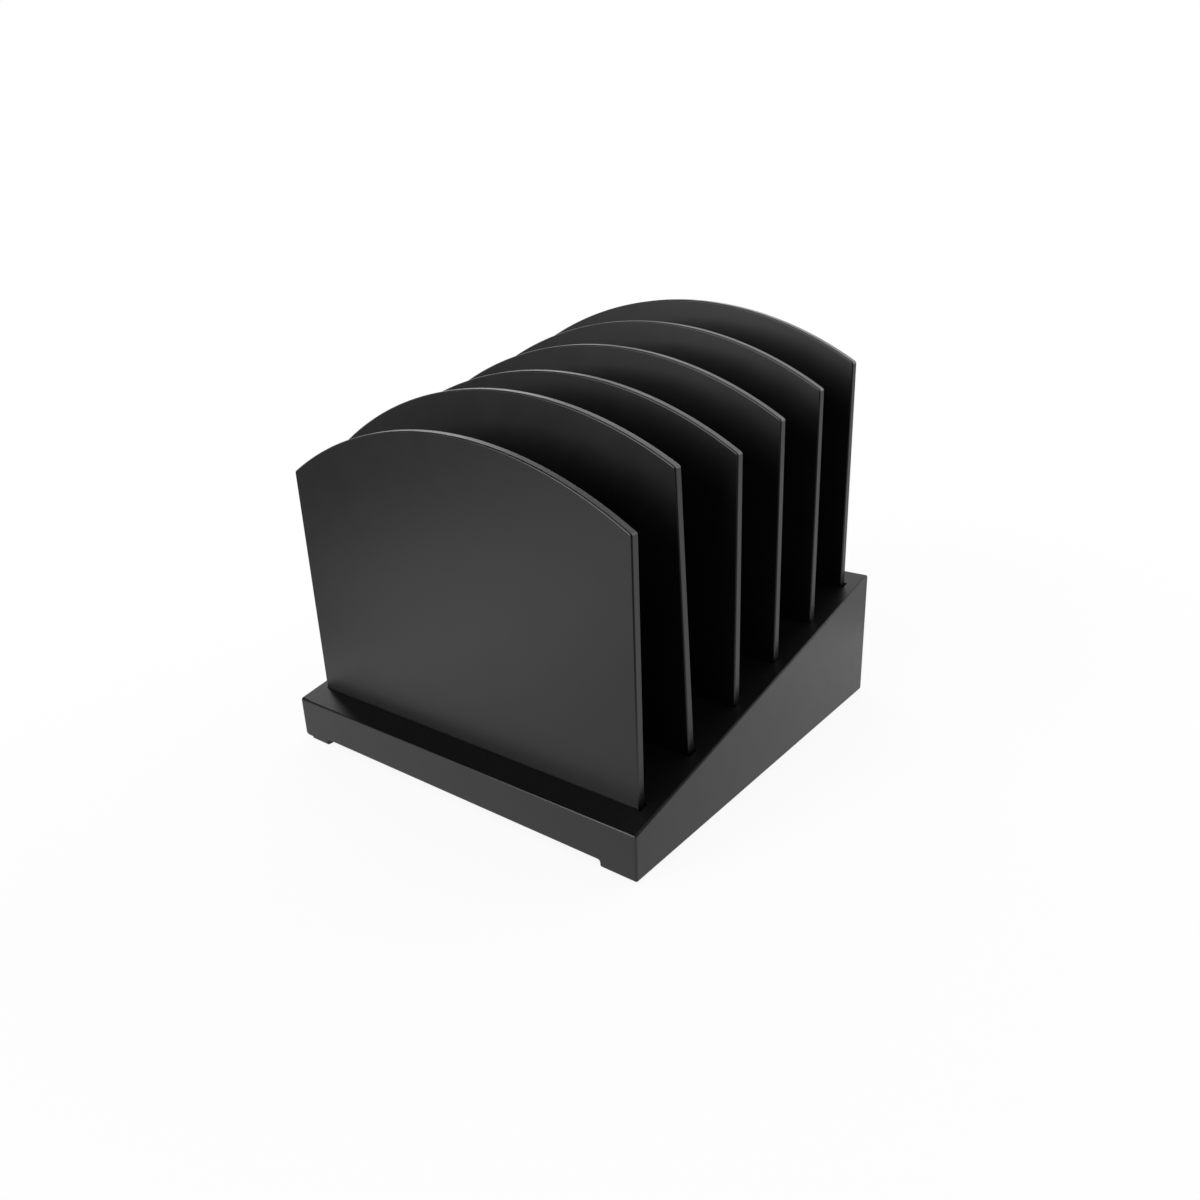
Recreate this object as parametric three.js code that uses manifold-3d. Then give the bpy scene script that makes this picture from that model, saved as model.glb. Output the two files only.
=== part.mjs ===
// Incline file organizer: six loose arched dividers standing in a sloping, wedge-shaped base.
//
// Sizes are in millimetres. +X is to the right, +Y to the rear and +Z up. The origin lies under the
// middle of the base, on the surface that the organizer stands on.
//
// The base is a box with no bottom. Two wedge-shaped side panels stand outside a front rail, a back
// rail and a deck that slopes down to the front. Corner blocks and cleats are glued inside it, and
// dowels pin its joints. The deck has one plumb groove for each divider, which runs right across it
// and is closed at both ends by the side panels. The dividers stand loose in their grooves, and the
// second one stands cocked, with its right end raised.

import * as THREE from "three";
import { mergeVertices } from "three/addons/utils/BufferGeometryUtils.js";
import Module from "manifold-3d";

// Base, outside
const baseWidth = 305;
const baseDepth = 299;
const frontHeight = 31;
const rearHeight = 95;

// Boards of the base
const sideThickness = 9;
const railThickness = 12;
const deckThickness = 18;
const blockSize = 18;
const cleatWidth = 10;
const cleatHeight = 10;

// Cut-out under the front rail, which leaves a foot at each end
const footWidth = 27;
const cutoutHeight = 4.2;
const cutoutRadius = 1.5;

// Dividers and their grooves
const dividerCount = 6;
const dividerThickness = 6;
const dividerSideHeight = 176.5;
const dividerArchRise = 39.5;
const shoulderRadius = 2.5;
const heelRadius = 1.5;
const easedEdge = 0.9;
const grooveDepth = 14;
const firstGroove = 21;
const rearMargin = 20.5;
const dividerShifts = [-0.7, 0, 0.6, 0.5, 0.7, -0.7];
const cockedDivider = 2;
const cockedAngle = THREE.MathUtils.degToRad(2.6);

// Dowels and felt pads
const dowelRadius = 3;
const sideDowelLength = 20;
const deckDowelLength = 14;
const dowelChamfer = 0.6;
const padRadius = 6;
const padThickness = 1;

// Clearances
const glueLine = 0.3;
const grooveClearance = 0.3;
const dividerEndPlay = 1;
const seatGap = 0.2;
const dowelClearance = 0.3;

// Numbers of steps on the round shapes
const archSteps = 32;
const cornerSteps = 3;
const roundSteps = 20;

// Sizes that follow from those above
const slope = (rearHeight - frontHeight) / baseDepth;
const deckDrop = deckThickness * Math.hypot(1, slope);
const innerWidth = baseWidth - 2 * sideThickness;
const deckWidth = innerWidth - 2 * glueLine;
const grooveWidth = dividerThickness + 2 * grooveClearance;
const grooveSpacing = (baseDepth - firstGroove - rearMargin) / (dividerCount - 1);
const dividerWidth = innerWidth - 2 * dividerEndPlay;
const holeRadius = dowelRadius + dowelClearance;
const dowelInSide = sideThickness * 2 / 3;
const dowelInDeck = deckThickness / 2;
const deckDowelSpread = deckWidth / 2;

const lacquer = new THREE.MeshStandardMaterial({ color: 0x1d1d1e, roughness: 0.32, metalness: 0 });
const undercoat = new THREE.MeshStandardMaterial({ color: 0x232322, roughness: 0.75, metalness: 0 });
const beech = new THREE.MeshStandardMaterial({ color: 0xc49a6c, roughness: 0.7, metalness: 0 });
const felt = new THREE.MeshStandardMaterial({ color: 0x2b2a29, roughness: 1, metalness: 0 });

const wasm = await Module();
wasm.setup();

// Height of the deck's top above the base's lower edge, at a distance y behind the front face.
function deckTop(y) {
  return frontHeight + slope * y;
}

// Height of the deck's underside at the same distance.
function deckUnder(y) {
  return deckTop(y) - deckDrop;
}

// Distance of a groove's middle from the front face. The first groove has number 1.
function grooveCentre(number) {
  return firstGroove + (number - 1) * grooveSpacing;
}

function grooveFloor(number) {
  return deckTop(grooveCentre(number)) - grooveDepth;
}

// A closed geometry as a solid that can be cut.
function toSolid(geometry) {
  const bare = geometry.clone();
  bare.deleteAttribute("normal");
  bare.deleteAttribute("uv");
  const merged = mergeVertices(bare, 1e-4);
  const mesh = new wasm.Mesh({
    numProp: 3,
    vertProperties: new Float32Array(merged.attributes.position.array),
    triVerts: new Uint32Array(merged.index.array),
  });
  return new wasm.Manifold(mesh);
}

function toGeometry(solid) {
  const mesh = solid.getMesh();
  const geometry = new THREE.BufferGeometry();
  geometry.setAttribute("position", new THREE.BufferAttribute(mesh.vertProperties, 3));
  geometry.setIndex(new THREE.BufferAttribute(mesh.triVerts, 1));
  return geometry;
}

// The geometry of a blank with every cutter taken out of it.
function cut(blank, cutters) {
  let solid = toSolid(blank);
  for (const cutter of cutters) {
    solid = solid.subtract(toSolid(cutter));
  }
  return toGeometry(solid);
}

function shapeOf(points) {
  return new THREE.Shape(points.map(([u, v]) => new THREE.Vector2(u, v)));
}

// A board with a side view of [y, z] points, from x = 0 to x = width.
function sideViewBoard(points, width) {
  const geometry = new THREE.ExtrudeGeometry(shapeOf(points), { depth: width, bevelEnabled: false });
  const alongX = new THREE.Matrix4().makeBasis(
    new THREE.Vector3(0, 1, 0),
    new THREE.Vector3(0, 0, 1),
    new THREE.Vector3(1, 0, 0),
  );
  return geometry.applyMatrix4(alongX);
}

// A board with a front view in x and z, centred on y = 0, with its edges eased by the bevel.
function frontViewBoard(shape, thickness, bevel) {
  const geometry = new THREE.ExtrudeGeometry(shape, {
    depth: thickness - 2 * bevel,
    bevelEnabled: bevel > 0,
    bevelThickness: bevel,
    bevelSize: bevel,
    bevelOffset: -bevel,
    bevelSegments: 1,
    curveSegments: cornerSteps,
  });
  geometry.translate(0, 0, bevel - thickness / 2);
  return geometry.rotateX(Math.PI / 2);
}

// A round rod from the origin along +X.
function rodAlongX(radius, length, chamfer = 0) {
  const profile = [[0, 0], [radius - chamfer, 0]];
  if (chamfer > 0) {
    profile.push([radius, chamfer], [radius, length - chamfer]);
  }
  profile.push([radius - chamfer, length], [0, length]);
  const points = profile.map(([r, h]) => new THREE.Vector2(r, h));
  return new THREE.LatheGeometry(points, roundSteps).rotateZ(-Math.PI / 2);
}

function rodAlongZ(radius, length, chamfer = 0) {
  return rodAlongX(radius, length, chamfer).rotateY(-Math.PI / 2);
}

function addMesh(parent, name, geometry, material, [x, y, z]) {
  const mesh = new THREE.Mesh(geometry, material);
  mesh.name = name;
  mesh.position.set(x, y, z);
  parent.add(mesh);
  return mesh;
}

// The dowels that pin the rails' ends to the side panels: [name, y, z] in the base's frame.
function sideDowelPlaces() {
  const frontY = railThickness / 2;
  const backY = baseDepth - railThickness / 2;
  const backRailHeight = deckUnder(backY);
  return [
    ["front", frontY, deckUnder(frontY) / 2],
    ["back_lower", backY, backRailHeight / 4],
    ["back_upper", backY, backRailHeight * 3 / 4],
  ];
}

// The dowels that pin the deck to the rails: [name, x, y] in the base's frame.
function deckDowelPlaces() {
  const places = [];
  for (const [end, y] of [["front", railThickness / 2], ["back", baseDepth - railThickness / 2]]) {
    places.push([`${end}_left`, -deckDowelSpread / 2, y]);
    places.push([`${end}_right`, deckDowelSpread / 2, y]);
  }
  return places;
}

// Height of a deck dowel's lower end.
function deckDowelFoot(y) {
  return deckUnder(y) + dowelInDeck - deckDowelLength;
}

// The cutters for the deck dowels' holes between two depths.
function deckDowelHoles(nearY, farY) {
  const places = deckDowelPlaces().filter(([, , y]) => y > nearY && y < farY);
  return places.map(([, x, y]) => {
    const hole = rodAlongZ(holeRadius, deckDowelLength + 2 * dowelClearance);
    return hole.translate(x, y, deckDowelFoot(y) - dowelClearance);
  });
}

// A side panel drilled from its inner face. Its frame has x = 0 at its outer or left face.
function sidePanelGeometry(isRight) {
  const outline = [[0, 0], [baseDepth, 0], [baseDepth, rearHeight], [0, frontHeight]];
  const depth = dowelInSide + dowelClearance;
  const overrun = 1;
  const start = isRight ? -overrun : sideThickness - depth;
  const holes = sideDowelPlaces().map(([, y, z]) => {
    return rodAlongX(holeRadius, depth + overrun).translate(start, y, z);
  });
  return cut(sideViewBoard(outline, sideThickness), holes);
}

function buildSidePanels(base) {
  addMesh(base, "side_panel_left", sidePanelGeometry(false), lacquer, [-baseWidth / 2, 0, 0]);
  addMesh(base, "side_panel_right", sidePanelGeometry(true), lacquer, [innerWidth / 2, 0, 0]);
}

// The space under the front rail, with rounded corners where it meets the feet and the rail.
function cutoutGeometry() {
  const half = baseWidth / 2 - footWidth;
  const r = cutoutRadius;
  const below = 1;
  const shape = new THREE.Shape();
  shape.moveTo(-half - r, -below);
  shape.lineTo(half + r, -below);
  shape.lineTo(half + r, 0);
  shape.absarc(half + r, r, r, -Math.PI / 2, -Math.PI, true);
  shape.lineTo(half, cutoutHeight - r);
  shape.absarc(half - r, cutoutHeight - r, r, 0, Math.PI / 2, false);
  shape.lineTo(-half + r, cutoutHeight);
  shape.absarc(-half + r, cutoutHeight - r, r, Math.PI / 2, Math.PI, false);
  shape.lineTo(-half, r);
  shape.absarc(-half - r, r, r, 0, -Math.PI / 2, true);
  return frontViewBoard(shape, 3 * railThickness, 0);
}

// The holes in a rail's two ends, which take the side dowels that lie between two depths.
function railEndHoles(nearY, farY) {
  const depth = sideDowelLength - dowelInSide + dowelClearance;
  const overrun = 1;
  const holes = [];
  for (const [, y, z] of sideDowelPlaces()) {
    if (y > nearY && y < farY) {
      const left = rodAlongX(holeRadius, depth + overrun);
      const right = rodAlongX(holeRadius, depth + overrun);
      holes.push(left.translate(-innerWidth / 2 - overrun, y, z));
      holes.push(right.translate(innerWidth / 2 - depth, y, z));
    }
  }
  return holes;
}

// A rail between two depths, with its top cut to the deck's slope.
function railGeometry(nearY, farY, extraCutters) {
  const outline = [
    [nearY, 0],
    [farY, 0],
    [farY, deckUnder(farY) - glueLine],
    [nearY, deckUnder(nearY) - glueLine],
  ];
  const blank = sideViewBoard(outline, deckWidth).translate(-deckWidth / 2, 0, 0);
  const holes = [...railEndHoles(nearY, farY), ...deckDowelHoles(nearY, farY)];
  return cut(blank, [...holes, ...extraCutters]);
}

function buildRails(base) {
  const backNear = baseDepth - railThickness;
  addMesh(base, "front_rail", railGeometry(0, railThickness, [cutoutGeometry()]), lacquer, [0, 0, 0]);
  addMesh(base, "back_rail", railGeometry(backNear, baseDepth, []), lacquer, [0, 0, 0]);
}

// The deck's side view: a sloping board with a plumb, flat-bottomed groove for each divider.
function deckOutline() {
  const outline = [[0, deckUnder(0)], [baseDepth, deckUnder(baseDepth)], [baseDepth, rearHeight]];
  for (let number = dividerCount; number >= 1; number -= 1) {
    const near = grooveCentre(number) - grooveWidth / 2;
    const far = grooveCentre(number) + grooveWidth / 2;
    outline.push([far, deckTop(far)]);
    outline.push([far, grooveFloor(number)]);
    outline.push([near, grooveFloor(number)]);
    outline.push([near, deckTop(near)]);
  }
  outline.push([0, frontHeight]);
  return outline;
}

function buildDeck(base) {
  const blank = sideViewBoard(deckOutline(), deckWidth).translate(-deckWidth / 2, 0, 0);
  addMesh(base, "slotted_deck", cut(blank, deckDowelHoles(0, baseDepth)), lacquer, [0, 0, 0]);
}

// Square blocks in the four inner corners, with their tops cut to the slope.
function buildCornerBlocks(base) {
  const frontY = railThickness + glueLine;
  const backY = baseDepth - railThickness - glueLine - blockSize;
  for (const [end, y] of [["front", frontY], ["back", backY]]) {
    const outline = [
      [0, 0],
      [blockSize, 0],
      [blockSize, deckUnder(y + blockSize) - glueLine],
      [0, deckUnder(y) - glueLine],
    ];
    const x = innerWidth / 2 - glueLine - blockSize;
    const geometry = sideViewBoard(outline, blockSize);
    addMesh(base, `corner_block_${end}_left`, geometry, undercoat, [-x - blockSize, y, 0]);
    addMesh(base, `corner_block_${end}_right`, geometry, undercoat, [x, y, 0]);
  }
}

// Sloping cleats under the deck's side edges, between the corner blocks.
function buildCleats(base) {
  const inset = railThickness + blockSize + 2 * glueLine;
  const near = inset;
  const far = baseDepth - inset;
  const outline = [
    [near, deckUnder(near) - glueLine - cleatHeight],
    [far, deckUnder(far) - glueLine - cleatHeight],
    [far, deckUnder(far) - glueLine],
    [near, deckUnder(near) - glueLine],
  ];
  const geometry = sideViewBoard(outline, cleatWidth);
  const x = innerWidth / 2 - glueLine - cleatWidth;
  addMesh(base, "deck_cleat_left", geometry, undercoat, [-x - cleatWidth, 0, 0]);
  addMesh(base, "deck_cleat_right", geometry, undercoat, [x, 0, 0]);
}

function buildDowels(base) {
  const sideDowel = rodAlongX(dowelRadius, sideDowelLength, dowelChamfer);
  const sideX = innerWidth / 2 + dowelInSide - sideDowelLength;
  for (const [name, y, z] of sideDowelPlaces()) {
    addMesh(base, `side_dowel_${name}_left`, sideDowel, beech, [-sideX - sideDowelLength, y, z]);
    addMesh(base, `side_dowel_${name}_right`, sideDowel, beech, [sideX, y, z]);
  }
  const deckDowel = rodAlongZ(dowelRadius, deckDowelLength, dowelChamfer);
  for (const [name, x, y] of deckDowelPlaces()) {
    addMesh(base, `deck_dowel_${name}`, deckDowel, beech, [x, y, deckDowelFoot(y)]);
  }
}

// Felt pads under the corner blocks. Their tops are level with the base's lower edge.
function buildPads(base) {
  const geometry = rodAlongZ(padRadius, padThickness);
  const x = innerWidth / 2 - glueLine - blockSize / 2;
  const inset = railThickness + glueLine + blockSize / 2;
  for (const [end, y] of [["front", inset], ["back", baseDepth - inset]]) {
    addMesh(base, `felt_pad_${end}_left`, geometry, felt, [-x, y, -padThickness]);
    addMesh(base, `felt_pad_${end}_right`, geometry, felt, [x, y, -padThickness]);
  }
}

// A divider's front view: straight sides, rounded corners and one shallow arc over the top.
function dividerShape() {
  const half = dividerWidth / 2;
  const archRadius = (half * half + dividerArchRise * dividerArchRise) / (2 * dividerArchRise);
  const archCentre = dividerSideHeight + dividerArchRise - archRadius;
  const shoulder = shoulderRadius;

  // The shoulder's round touches the side inside it and the arch from within.
  const shoulderX = half - shoulder;
  const reach = archRadius - shoulder;
  const shoulderZ = archCentre + Math.sqrt(reach * reach - shoulderX * shoulderX);
  const archAngle = Math.atan2(shoulderZ - archCentre, shoulderX);

  const shape = new THREE.Shape();
  shape.moveTo(-half + heelRadius, 0);
  shape.lineTo(half - heelRadius, 0);
  shape.absarc(half - heelRadius, heelRadius, heelRadius, -Math.PI / 2, 0, false);
  shape.lineTo(half, shoulderZ);
  shape.absarc(shoulderX, shoulderZ, shoulder, 0, archAngle, false);
  for (let step = 1; step < archSteps; step += 1) {
    const angle = archAngle + (Math.PI - 2 * archAngle) * step / archSteps;
    shape.lineTo(archRadius * Math.cos(angle), archCentre + archRadius * Math.sin(angle));
  }
  shape.absarc(-shoulderX, shoulderZ, shoulder, Math.PI - archAngle, Math.PI, false);
  shape.lineTo(-half, heelRadius);
  shape.absarc(-half + heelRadius, heelRadius, heelRadius, Math.PI, 1.5 * Math.PI, false);
  return shape;
}

// The dividers, each a little to one side in its groove, and turned about its lower left corner where it is
// cocked.
function buildDividers(base) {
  const geometry = frontViewBoard(dividerShape(), dividerThickness, easedEdge);
  for (let number = 1; number <= dividerCount; number += 1) {
    const corner = new THREE.Group();
    const left = dividerShifts[number - 1] - dividerWidth / 2;
    corner.position.set(left, grooveCentre(number), grooveFloor(number) + seatGap);
    corner.rotation.y = number === cockedDivider ? -cockedAngle : 0;
    base.add(corner);
    addMesh(corner, `divider_${number}`, geometry, lacquer, [dividerWidth / 2, 0, 0]);
  }
}

const organizer = new THREE.Group();
const base = new THREE.Group();
base.position.set(0, -baseDepth / 2, padThickness);
organizer.add(base);
buildSidePanels(base);
buildRails(base);
buildDeck(base);
buildCornerBlocks(base);
buildCleats(base);
buildDowels(base);
buildPads(base);
buildDividers(base);

export default organizer;
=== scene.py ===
"""Looks of the incline file organizer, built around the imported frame.

The organizer is a wedge-shaped base of lacquered boards, with six loose dividers that stand in the
plumb grooves of its sloping deck. Every board is a surface worked out with numpy: a rounded edge
profile is carried along the board's flat outline, and the same formula gives the normals. Lengths are
in metres, with +X to the right, +Y to the rear and +Z up, as in the frame.
"""

import logging
import math
from dataclasses import dataclass
from enum import Enum

import bpy
import numpy as np
from bpy.types import Material, Node, NodeSocket, Object, World
from mathutils import Matrix, Vector


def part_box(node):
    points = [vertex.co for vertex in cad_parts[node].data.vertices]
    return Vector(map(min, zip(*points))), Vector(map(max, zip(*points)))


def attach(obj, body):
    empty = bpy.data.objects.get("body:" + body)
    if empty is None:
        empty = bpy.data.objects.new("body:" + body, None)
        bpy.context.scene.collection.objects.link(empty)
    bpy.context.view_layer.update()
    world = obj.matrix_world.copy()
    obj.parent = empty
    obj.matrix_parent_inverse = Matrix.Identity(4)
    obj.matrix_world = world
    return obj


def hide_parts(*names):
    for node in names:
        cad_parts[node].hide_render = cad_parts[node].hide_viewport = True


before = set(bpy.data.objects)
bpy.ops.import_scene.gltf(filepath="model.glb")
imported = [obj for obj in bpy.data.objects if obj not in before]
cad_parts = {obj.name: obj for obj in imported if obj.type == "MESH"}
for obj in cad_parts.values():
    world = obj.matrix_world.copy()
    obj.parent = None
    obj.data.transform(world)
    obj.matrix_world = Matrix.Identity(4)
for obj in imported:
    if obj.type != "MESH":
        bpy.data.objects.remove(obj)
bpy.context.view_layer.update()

MM = 0.001
# Points closer than the first value are one, and heights or depths closer than the second are equal.
WELD = 1e-7
TOUCH = 0.1 * MM
# Arcs with a smaller radius are rounded corners.
SMALL_ARC = 10 * MM
# A face looks along a direction if the cosine between them is above this.
FACING = 0.7
# Smallest divisor of a mitre.
TINY = 1e-9
# Steps along a rounded corner, and round an eased edge.
CURVE_STEPS = 6
# How many grooves the deck has, each with its divider.
GROOVES = 6
# The part of a noise pattern's range that is used.
NOISE_LOW, NOISE_HIGH = 0.3, 0.7
# The sockets of a Mix node for colours, by number.
MIX_SHARE, MIX_FIRST, MIX_SECOND, MIX_RESULT = 0, 6, 7, 2
WHITE = (1, 1, 1, 1)
# The photograph's side in pixels, and the camera's sensor in millimetres.
PHOTO_PIXELS = 1200
SENSOR = 36.0

Place = tuple[float, float, float]
Tone = tuple[float, float, float, float]

log = logging.getLogger("organizer")


def towards(azimuth: float, elevation: float) -> Vector:
    """The direction at an azimuth from the front towards the right and an elevation above the level."""
    flat = math.cos(elevation)
    return Vector((math.sin(azimuth) * flat, -math.cos(azimuth) * flat, math.sin(elevation)))


def linked(name: str, data: bpy.types.ID) -> Object:
    """Makes an object at the origin and links it to the scene.

    Args:
        name: The object's name.
        data: Its mesh, lamp or camera.

    Returns:
        The new object.
    """
    thing = bpy.data.objects.new(name, data)
    bpy.context.scene.collection.objects.link(thing)
    return thing


class View(Enum):
    """The view that a board's outline is drawn in: its two flat axes, then the axis across the board."""

    SIDE = ((0, 1, 0), (0, 0, 1), (1, 0, 0))
    FRONT = ((1, 0, 0), (0, 0, 1), (0, -1, 0))
    PLAN = ((1, 0, 0), (0, 1, 0), (0, 0, 1))

    def basis(self) -> np.ndarray:
        """The three axes as the rows of an array."""
        return np.array(self.value, float)


class Side(Enum):
    """The two sides of the base, as signs along X."""

    LEFT = -1
    RIGHT = 1


class End(Enum):
    """The two ends of the base, as signs along Y."""

    FRONT = -1
    BACK = 1


class Grain(Enum):
    """The axis that a piece of wood's grain runs along."""

    ALONG_X = 0
    ALONG_Y = 1
    ALONG_Z = 2


@dataclass(frozen=True)
class Outline:
    """A closed flat outline, run anticlockwise.

    Attributes:
        points: The outline's points, as an array of pairs.
        normals: The outward direction at each point.
        insets: How far each point moves when the outline shrinks by one.
        reach: The share of the edge rounding that a point takes in depth.
        easing: The share of the edge rounding in a point's own shading.
        bend: Nearness to the middle of a rounded corner, from 0 to 1.
    """

    points: np.ndarray
    normals: np.ndarray
    insets: np.ndarray
    reach: np.ndarray
    easing: np.ndarray
    bend: np.ndarray

    @classmethod
    def from_corners(
        cls,
        corners: list[tuple[float, float]],
        radii: list[float],
        easing: list[float],
        steps: int = CURVE_STEPS,
    ) -> "Outline":
        """Rounds the corners of a polygon.

        A corner of radius r is an arc whose centre lies r inside both edges, or r outside them where the
        corner is re-entrant. Its direction turns evenly from one edge's normal to the next one's. A
        square corner shrinks along its mitre, which solves for the two edges' shares of the easing.

        Args:
            corners: The polygon's corners, anticlockwise.
            radii: One radius for each corner.
            easing: One share of the edge rounding for each edge, from its corner to the next.
            steps: Steps along each rounded corner.

        Returns:
            The rounded outline.
        """
        corner = np.array(corners, float)
        radius = np.array(radii, float)[:, None]
        along = np.roll(corner, -1, 0) - corner
        along /= np.linalg.norm(along, axis=1, keepdims=True)
        after = np.stack([along[:, 1], -along[:, 0]], 1)
        before = np.roll(after, 1, 0)
        cosine = (before * after).sum(1, keepdims=True)
        turn = np.arctan2(before[:, 0] * after[:, 1] - before[:, 1] * after[:, 0], cosine[:, 0])
        start = np.arctan2(before[:, 1], before[:, 0])
        share = np.linspace(0.0, 1.0, steps + 1)
        angle = start[:, None] + turn[:, None] * share
        normals = np.stack([np.cos(angle), np.sin(angle)], -1)
        sign = np.sign(turn)[:, None]
        centre = corner - sign * radius * (before + after) / (1 + cosine)
        points = centre[:, None] + (sign * radius)[:, None] * normals
        ease_after = np.array(easing, float)[:, None]
        ease_before = np.roll(ease_after, 1, 0)
        eased = ease_before + (ease_after - ease_before) * share
        mitre = ease_before * (before - cosine * after) + ease_after * (after - cosine * before)
        mitre = mitre / np.maximum(1 - cosine**2, TINY)
        rounded = radius > 0
        insets = np.where(rounded[:, None], eased[:, :, None] * normals, mitre[:, None])
        reach = np.where(rounded, eased, np.maximum(ease_before, ease_after))
        bend = np.where(rounded & (sign > 0), np.sin(np.pi * share), 0.0)
        pairs = [part.reshape(-1, 2) for part in (points, normals, insets)]
        return cls(*pairs, reach.reshape(-1), eased.reshape(-1), bend.reshape(-1))

    @classmethod
    def from_arcs(cls, arcs: list[tuple[float, float, float, float, float, int]]) -> "Outline":
        """Joins arcs with straight lines that touch them.

        A point of an arc is its centre plus its radius times the direction at that angle, and the
        direction is also the outward normal.

        Args:
            arcs: For each arc its centre's two coordinates, radius, first and last angle, and steps.

        Returns:
            The outline.
        """
        angles = [np.linspace(first, last, steps + 1) for _, _, _, first, last, steps in arcs]
        angle = np.concatenate(angles)
        counts = [len(part) for part in angles]
        centre = np.repeat(np.array([arc[:2] for arc in arcs], float), counts, 0)
        radius = np.repeat(np.array([arc[2] for arc in arcs], float), counts)
        normals = np.stack([np.cos(angle), np.sin(angle)], 1)
        share = np.concatenate([np.linspace(0.0, 1.0, count) for count in counts])
        bend = np.where(radius < SMALL_ARC, np.sin(np.pi * share), 0.0)
        ones = np.ones(len(angle))
        return cls(centre + radius[:, None] * normals, normals, normals, ones, ones, bend)


@dataclass(frozen=True)
class Skin:
    """A closed surface as whole arrays.

    Attributes:
        points: The surface's points.
        normals: The outward normal at each point.
        polish: Nearness to the middle of a rounded edge at each point, from 0 to 1.
        triangles: Three point numbers for each triangle.
        ends: The flat end faces, each a loop of point numbers and a normal.
    """

    points: np.ndarray
    normals: np.ndarray
    polish: np.ndarray
    triangles: np.ndarray
    ends: list[tuple[np.ndarray, np.ndarray]]

    def moved(self, matrix: Matrix) -> "Skin":
        """Turns and moves the surface.

        Args:
            matrix: The turn and the move, without a scale.

        Returns:
            The same surface in its new place.
        """
        turn = np.array(matrix.to_3x3())
        shift = np.array(matrix.translation)
        ends = [(loop, turn @ normal) for loop, normal in self.ends]
        return Skin(self.points @ turn.T + shift, self.normals @ turn.T, self.polish, self.triangles, ends)

    def to_object(self, name: str, inward: Place) -> Object:
        """Puts the surface into a mesh object at the origin.

        Points that share a place are made one, and triangles that this closes up are left out. Each
        corner of a face keeps its own normal and its two attributes: polish, and inside, which is 1
        where the face looks along the inward direction and 0 elsewhere.

        Args:
            name: The object's name.
            inward: The direction into the base's hollow, or zeros for none.

        Returns:
            The new object.
        """
        grid = np.round(self.points / WELD).astype(np.int64)
        _, first, index = np.unique(grid, axis=0, return_index=True, return_inverse=True)
        index = index.reshape(-1)
        corners = index[self.triangles]
        kept = self.triangles[(corners != np.roll(corners, 1, 1)).all(1)]
        loops = [kept.reshape(-1)]
        normals = [self.normals[kept].reshape(-1, 3)]
        polish = [self.polish[kept].reshape(-1)]
        sizes = [np.full(len(kept), 3)]
        for loop, normal in self.ends:
            loop = loop[index[loop] != np.roll(index[loop], 1)]
            loops.append(loop)
            normals.append(np.broadcast_to(normal, (len(loop), 3)))
            polish.append(np.zeros(len(loop)))
            sizes.append(np.array([len(loop)]))
        vertex = index[np.concatenate(loops)]
        normal = np.concatenate(normals)
        size = np.concatenate(sizes)
        start = np.concatenate([[0], np.cumsum(size)[:-1]])
        following = np.arange(len(vertex)) + 1
        following[start + size - 1] = start
        there = vertex * len(first) + vertex[following]
        back = vertex[following] * len(first) + vertex
        closed = len(np.unique(there)) == len(there) and np.array_equal(np.sort(there), np.sort(back))

        mesh = bpy.data.meshes.new(name)
        mesh.vertices.add(len(first))
        mesh.vertices.foreach_set("co", self.points[first].astype(np.float32).reshape(-1))
        mesh.loops.add(len(vertex))
        mesh.loops.foreach_set("vertex_index", vertex.astype(np.int32))
        mesh.polygons.add(len(start))
        mesh.polygons.foreach_set("loop_start", start.astype(np.int32))
        mesh.update(calc_edges=True)
        inside = normal @ np.array(inward, float) > FACING
        for title, values in (("polish", np.concatenate(polish)), ("inside", inside)):
            attribute = mesh.attributes.new(title, "FLOAT", "CORNER")
            attribute.data.foreach_set("value", values.astype(np.float32))
        mesh.normals_split_custom_set(normal.tolist())
        log.info("%s: %d points, %d faces, closed: %s", name, len(first), len(start), closed)
        return linked(name, mesh)


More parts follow.
